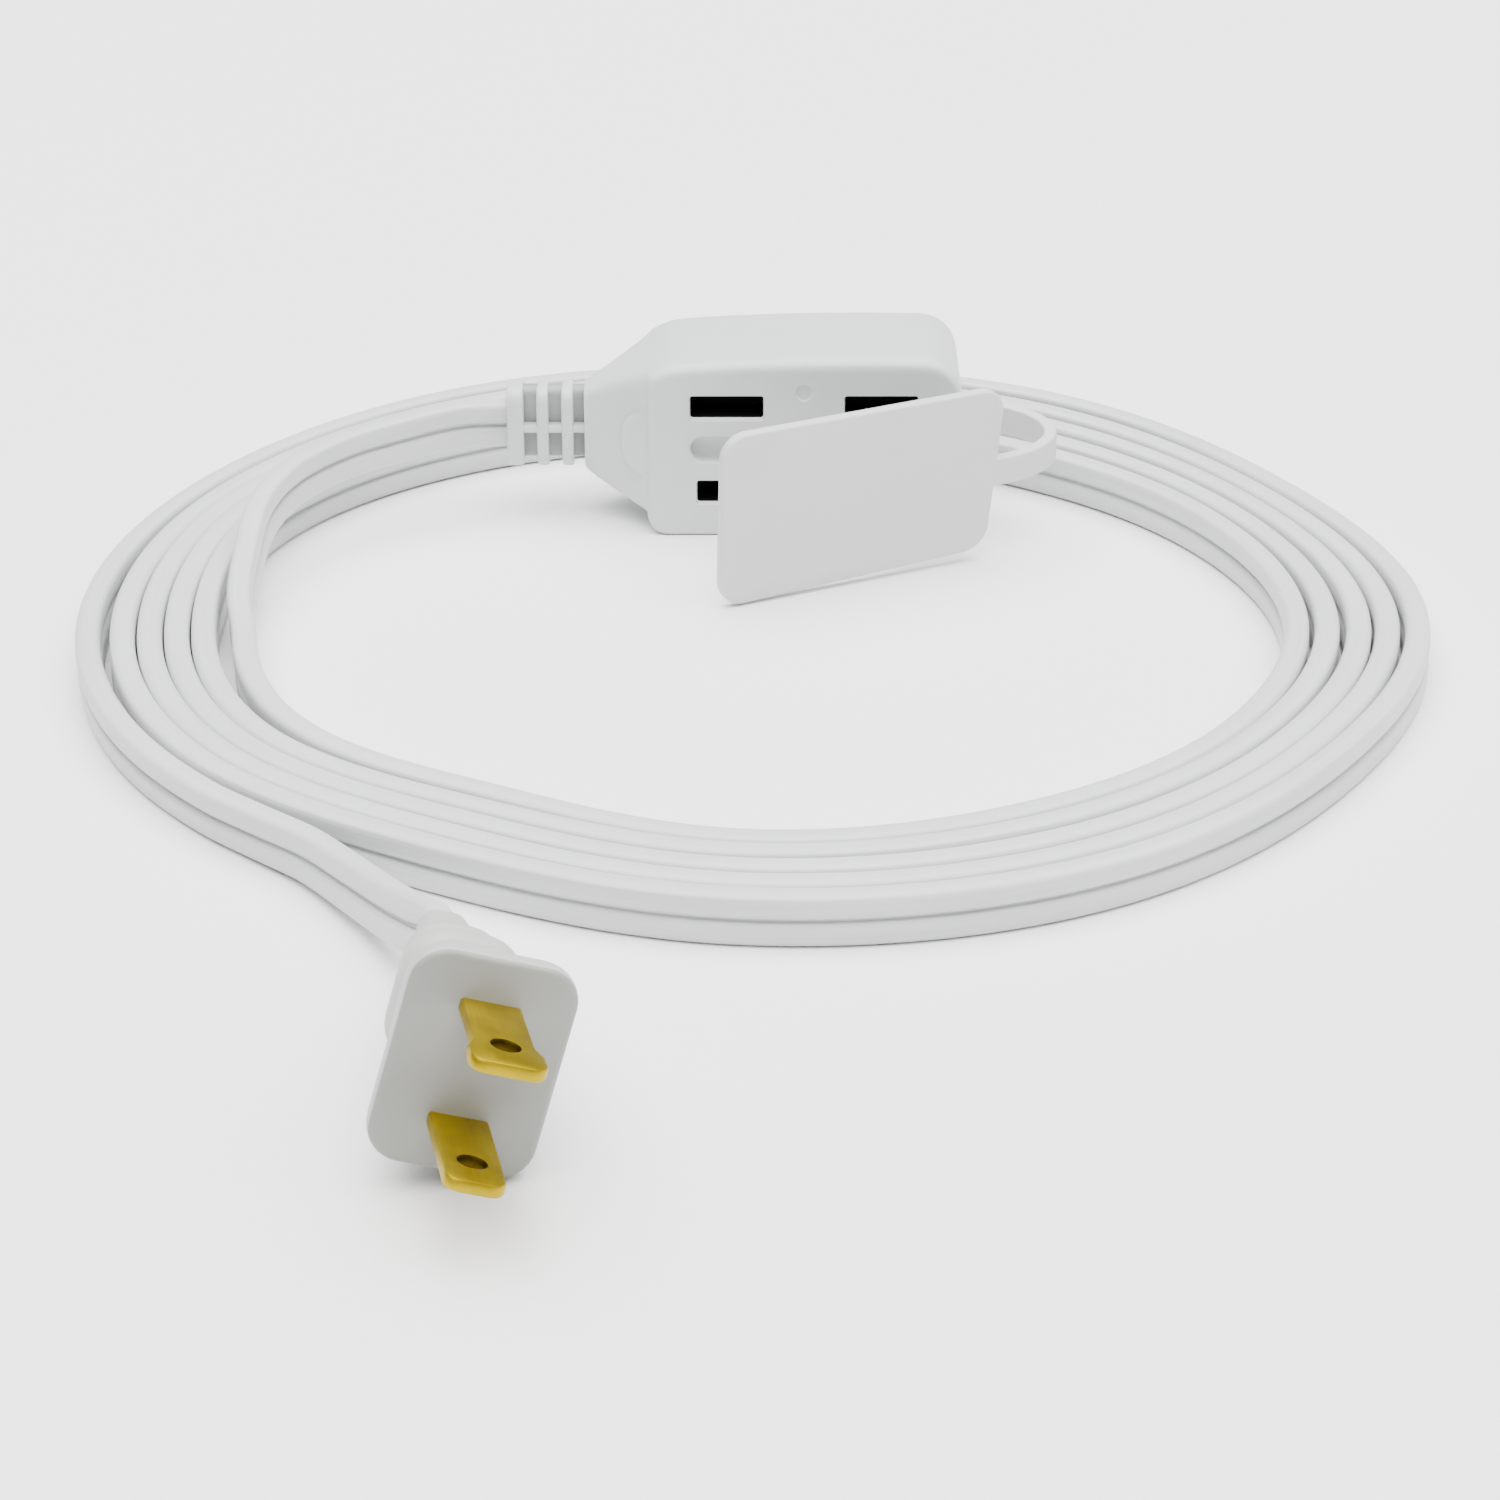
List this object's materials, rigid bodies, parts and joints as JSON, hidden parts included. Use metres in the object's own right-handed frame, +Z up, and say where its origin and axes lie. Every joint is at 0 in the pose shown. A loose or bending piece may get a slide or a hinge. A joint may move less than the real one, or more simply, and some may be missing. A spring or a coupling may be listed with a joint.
{
  "type": "extension cord",
  "caption": "Household extension cord in white vinyl: small outlet tap with a strapped outlet cover, a strain relief, a flat two-conductor cord lying in a coil, and a polarised two-blade plug.",
  "frame": {"origin": "centre of the tap's lower long narrow side, the side that it stands on", "axes": "+Z up, out of the tap's upper long narrow side; +X along the tap, away from its cord; -Y the way its two front outlets face, towards the coil and the plug"},
  "size_m": [0.1775, 0.2321, 0.0262],
  "materials": {
    "white_vinyl": "satin moulded white vinyl with a fine even grain",
    "core_plastic": "dull rigid moulding, hidden inside",
    "plain_brass": "plain rolled brass, lightly brushed along its length",
    "wire_insulation": "smooth extruded white insulation",
    "stranded_copper": "bright twisted copper strands",
    "cover_plastic": "satin flexible off-white plastic",
    "cord_jacket": "satin extruded white vinyl with fine lines along the cord"
  },
  "bodies": {
    "tap": {"tap_body": "white_vinyl", "tap_front_carrier": "core_plastic", "tap_rear_carrier": "core_plastic", "tap_neutral_bus": "plain_brass", "tap_hot_bus": "plain_brass", "tap_neutral_wire": "wire_insulation", "tap_hot_wire": "wire_insulation", "tap_neutral_strands": "stranded_copper", "tap_hot_strands": "stranded_copper", "tap_strain_relief": "white_vinyl", "cover_strap": "cover_plastic", "cord_tap_lead": "cord_jacket", "cord_coil": "cord_jacket", "cord_plug_lead": "cord_jacket", "plug_strain_relief": "white_vinyl", "plug_body": "white_vinyl", "plug_bridge": "core_plastic", "plug_neutral_blade": "plain_brass", "plug_hot_blade": "plain_brass", "plug_neutral_wire": "wire_insulation", "plug_hot_wire": "wire_insulation", "plug_neutral_strands": "stranded_copper", "plug_hot_strands": "stranded_copper"},
    "cover": {"cover_plate": "cover_plastic"}
  },
  "joints": [
    {"name": "cover_swing", "type": "hinge", "parent": "tap", "child": "cover", "pos_m": [0.03645, -0.0035, 0.013], "axis": [0, 0, 1], "range_deg": [-25, 65], "stiffness_Nm_per_rad": 0.002, "deforming": ["cover_strap"]}
  ]
}
